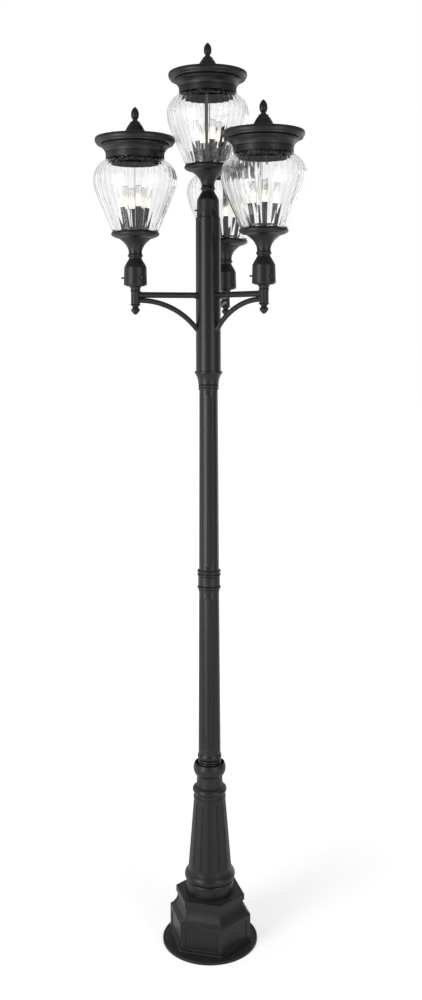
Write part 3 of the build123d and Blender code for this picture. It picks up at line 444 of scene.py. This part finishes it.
first_shade = blow_shade(lanterns[0])
for place in lanterns:
    if place == lanterns[0]:
        shade = first_shade
    else:
        step = lantern_centre(place) - lantern_centre(lanterns[0])
        shade = copied(first_shade, f"ribbed_shade_{place}", step)
    shade.data.materials.clear()
    shade.data.materials.append(clear_glass(place))
    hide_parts(f"glass_shade_{place}")
    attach(shade, f"glass_{place}")

# Studio
# A white floor and surround, two tall soft lights in front of the post, the left one the
# stronger, two dim wide ones to its left and one behind.
camera_turn = radians(14.5)
camera_roll = radians(0.16)
camera_distance = 4.305
camera_height = 2.49
light_height = 2.1
aim_height = 1.9


def around(azimuth, distance, height):
    """A point round the post, by its angle from the camera's side."""
    a = camera_turn + radians(azimuth)
    return Vector((distance * sin(a), -distance * cos(a), height))


def soft_light(name, azimuth, distance, width, tall, radiance):
    """A rectangle of light that faces the post. Radiance is how bright its face is."""
    lamp = bpy.data.lights.new(name, "AREA")
    lamp.shape = "RECTANGLE"
    lamp.size = width
    lamp.size_y = tall
    lamp.energy = radiance * pi * width * tall
    holder = bpy.data.objects.new(name, lamp)
    holder.location = around(azimuth, distance, light_height)
    facing = Vector((0, 0, aim_height)) - holder.location
    holder.rotation_euler = facing.to_track_quat("-Z", "Y").to_euler()
    bpy.context.scene.collection.objects.link(holder)


soft_light("left_softbox", azimuth=-48, distance=3.8, width=1.5, tall=3.8, radiance=5.0)
soft_light("left_wide", azimuth=-56, distance=4.3, width=3.6, tall=4.0, radiance=0.5)
soft_light("left_fill", azimuth=-112, distance=4.4, width=3.4, tall=4.0, radiance=0.6)
soft_light("right_softbox", azimuth=40, distance=3.8, width=1.6, tall=3.8, radiance=2.4)
soft_light("back_fill", azimuth=142, distance=4.6, width=1.8, tall=3.8, radiance=1.3)


def looked_at(finish, mirrored_share):
    """1 for the camera and for what looks through glass, and a share of it in a mirror image."""
    kinds = ("Camera", "Transmission", "Glossy")
    seen, through, mirrored = (finish.node("LightPath", out=f"Is {kind} Ray") for kind in kinds)
    straight = seen.math("MAXIMUM", seen, through)
    return straight.math("MAXIMUM", straight, mirrored * mirrored_share)


class Surround(Finish):
    """The world's nodes, put together as a finish's are."""

    def __init__(self, name):
        self.world = bpy.data.worlds.new(name)
        self.start(self.world, "OutputWorld")


# The surround lights the post dimly, and only what looks at it finds it white.
dim_level = 0.2
surround = Surround("white_surround")
level = dim_level + looked_at(surround, mirrored_share=0.2) * (1 - dim_level)
glow = surround.node("Background", sockets={"Color": (1, 1, 1), "Strength": level})
surround.join(glow.socket, surround.output.inputs["Surface"])
bpy.context.scene.world = surround.world

# White is added to what shows of the floor, less of it round the post's foot, where the
# lamps light the floor and the post's shadow falls.
bpy.ops.mesh.primitive_plane_add(size=60, location=(0, 0, 0))
floor = settle(bpy.context.object, "studio_floor")
floor_paint = Finish("floor_paint")
floor_paint.set(base_color=(0.8, 0.8, 0.8), roughness=0.9)
from_post = floor_paint.node(
    "VectorMath", {"operation": "LENGTH"}, {0: floor_paint.place}, out="Value"
)
reach = {"Value": from_post, "From Min": 0.3, "From Max": 3.5, "To Min": 0.6, "To Max": 0.9}
whiteness = floor_paint.node("MapRange", {"interpolation_type": "SMOOTHSTEP"}, reach)
added = looked_at(floor_paint, mirrored_share=0.6) * whiteness
lift = floor_paint.node("Emission", sockets={"Strength": added})
painted = Wire(floor_paint, floor_paint.shader.outputs[0])
lifted = floor_paint.node("AddShader", sockets={0: painted, 1: lift})
floor_paint.join(lifted.socket, floor_paint.output.inputs["Surface"])
floor.data.materials.append(floor_paint.material)

camera_data = bpy.data.cameras.new("camera")
camera_data.sensor_width = 36
camera_data.lens = 37.8
camera_data.shift_x = 0.0026
camera_data.shift_y = -0.17
camera_data.clip_end = 100
camera = bpy.data.objects.new("camera", camera_data)
camera.location = around(0, camera_distance, camera_height)
camera.rotation_euler = (pi / 2, camera_roll, camera_turn)
bpy.context.scene.collection.objects.link(camera)
bpy.context.scene.camera = camera
bpy.context.scene.view_settings.view_transform = "Standard"

bpy.context.view_layer.update()
